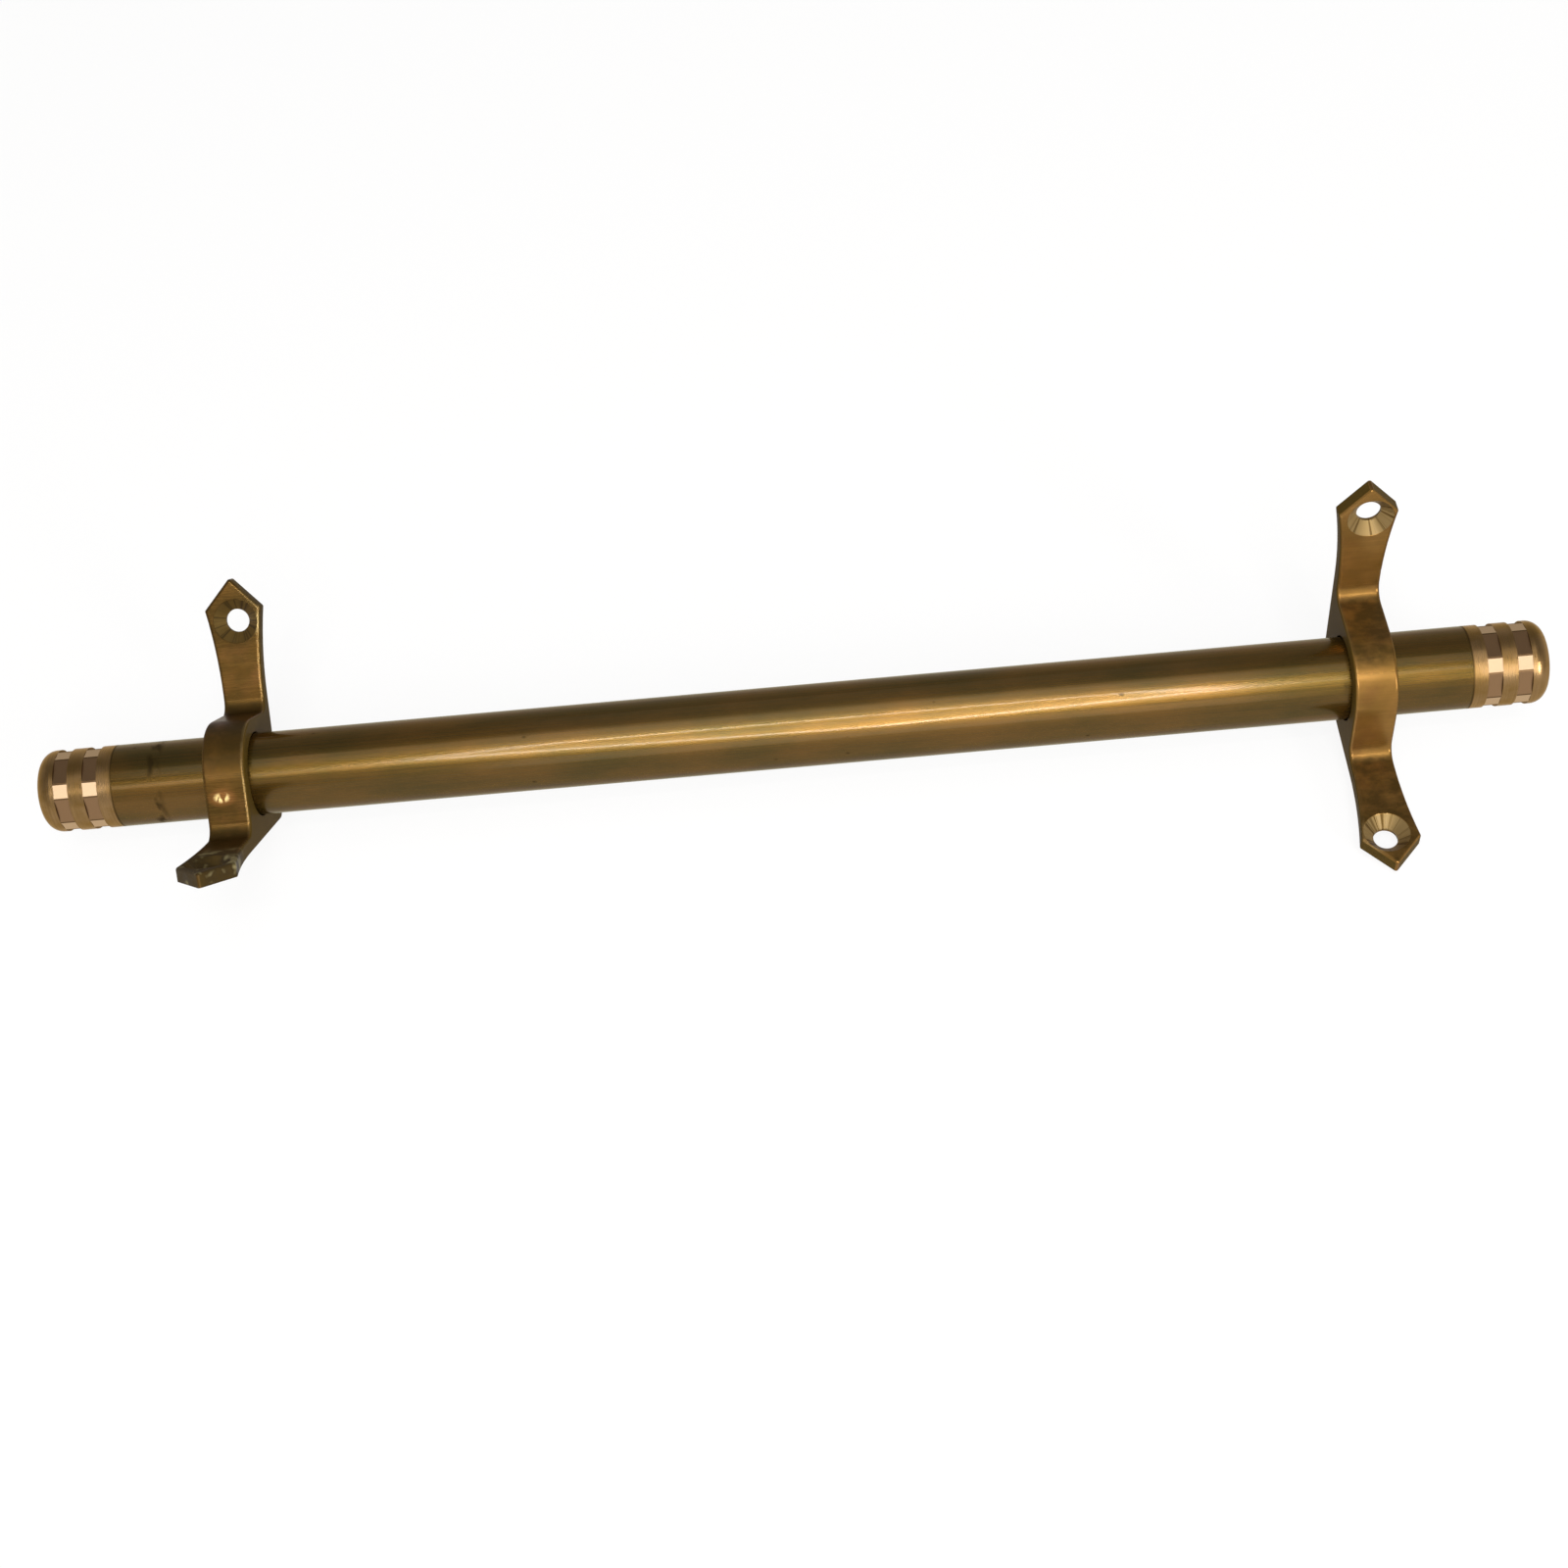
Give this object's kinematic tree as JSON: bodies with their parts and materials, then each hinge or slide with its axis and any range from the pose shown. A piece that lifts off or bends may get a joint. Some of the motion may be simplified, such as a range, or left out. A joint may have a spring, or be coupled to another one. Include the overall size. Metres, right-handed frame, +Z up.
{
  "type": "stair carpet rod",
  "caption": "Round brass stair carpet rod with faceted end caps, held in cast brackets whose pointed, countersunk feet screw to riser and tread.",
  "frame": {"origin": "on the rod's axis, halfway along the rod", "axes": "+X along the rod to its right end, +Y back to the riser, +Z up from the tread; the right bracket's riser foot is upright in this frame"},
  "size_m": [0.2916, 0.0724, 0.0544],
  "materials": {
    "tube_brass": "satin, aged",
    "cap_brass": "turned and milled",
    "bracket_brass": "cast, polished"
  },
  "bodies": {
    "rod": {"rod_tube": "tube_brass", "left_end_cap": "cap_brass", "right_end_cap": "cap_brass"},
    "left_bracket": {"left_bracket": "bracket_brass"},
    "right_bracket": {"right_bracket": "bracket_brass"}
  },
  "joints": [
    {"name": "left_bracket_swivel", "type": "hinge", "parent": "rod", "child": "left_bracket", "pos_m": [-0.1079, 0, 0], "axis": [1, 0, 0], "continuous": true},
    {"name": "right_bracket_slide", "type": "slide", "parent": "rod", "child": "right_bracket", "axis": [1, 0, 0], "range_m": [-0.207, 0.029]}
  ]
}
